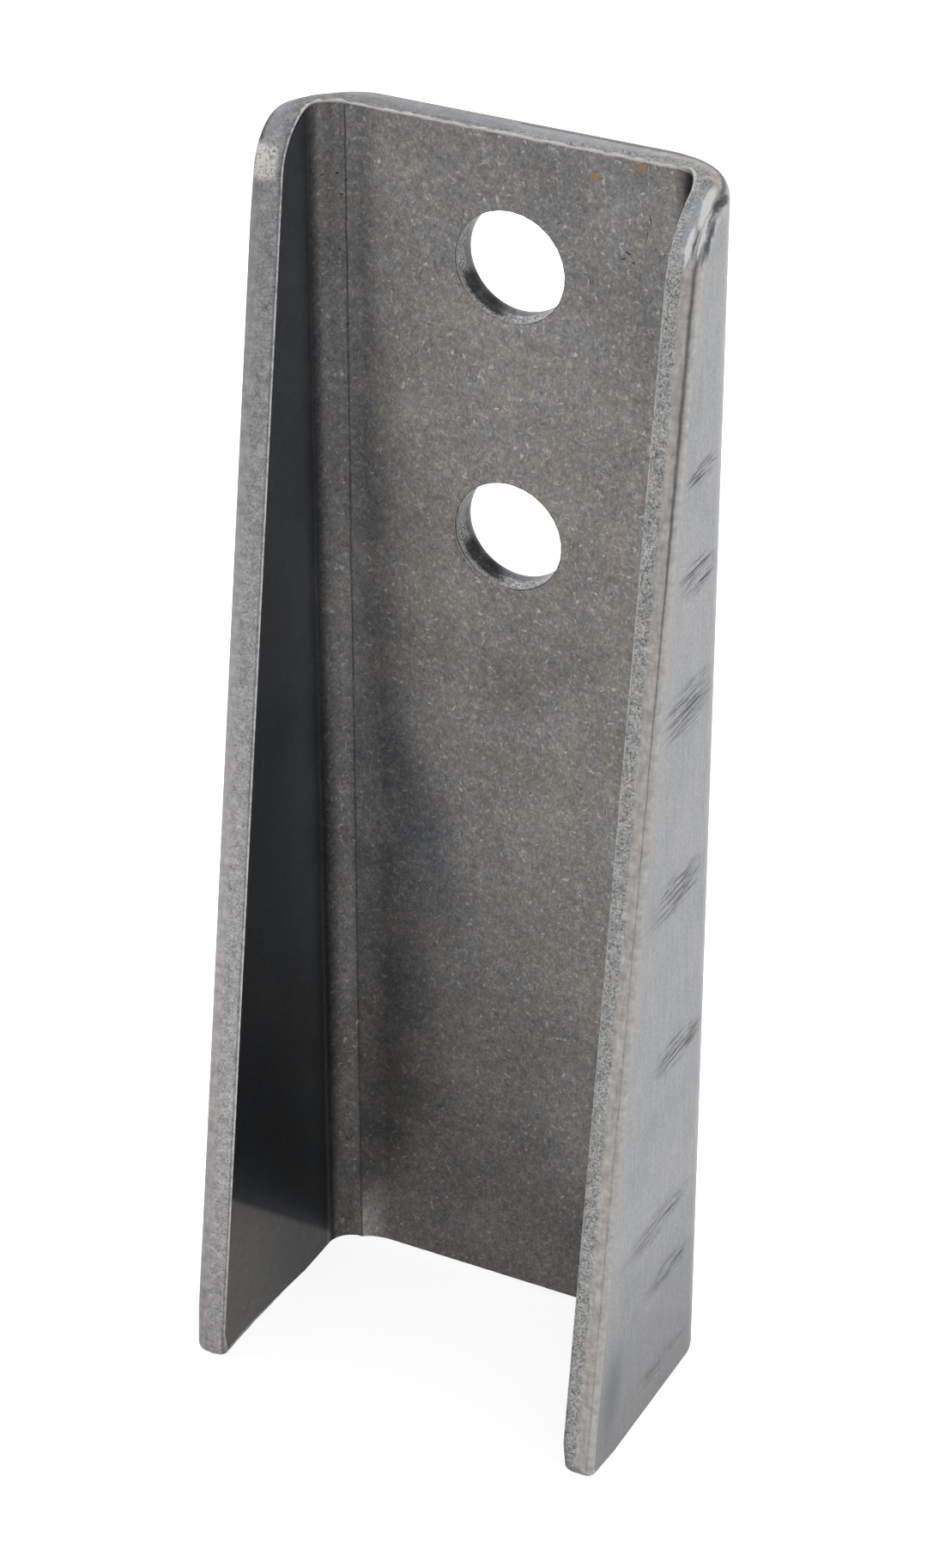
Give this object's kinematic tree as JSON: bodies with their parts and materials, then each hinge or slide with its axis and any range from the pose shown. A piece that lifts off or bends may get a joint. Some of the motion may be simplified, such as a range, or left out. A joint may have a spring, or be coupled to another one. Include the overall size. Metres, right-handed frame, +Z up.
{
  "type": "fuel cell bracket",
  "caption": "Folded steel channel bracket with punched bolt holes near the top of its web and flanges that widen towards the foot.",
  "frame": {"origin": "middle of the footprint, on the surface that the flanges stand on", "axes": "+Z up along the web, +Y out of the web's outer face, which bolts on; the channel opens towards -Y; +X to the right seen from the open side"},
  "size_m": [0.041, 0.0256, 0.1182],
  "materials": {
    "raw_steel": "raw mill surface with sheared edges"
  },
  "bodies": {
    "root": {"bracket": "raw_steel"}
  },
  "joints": []
}
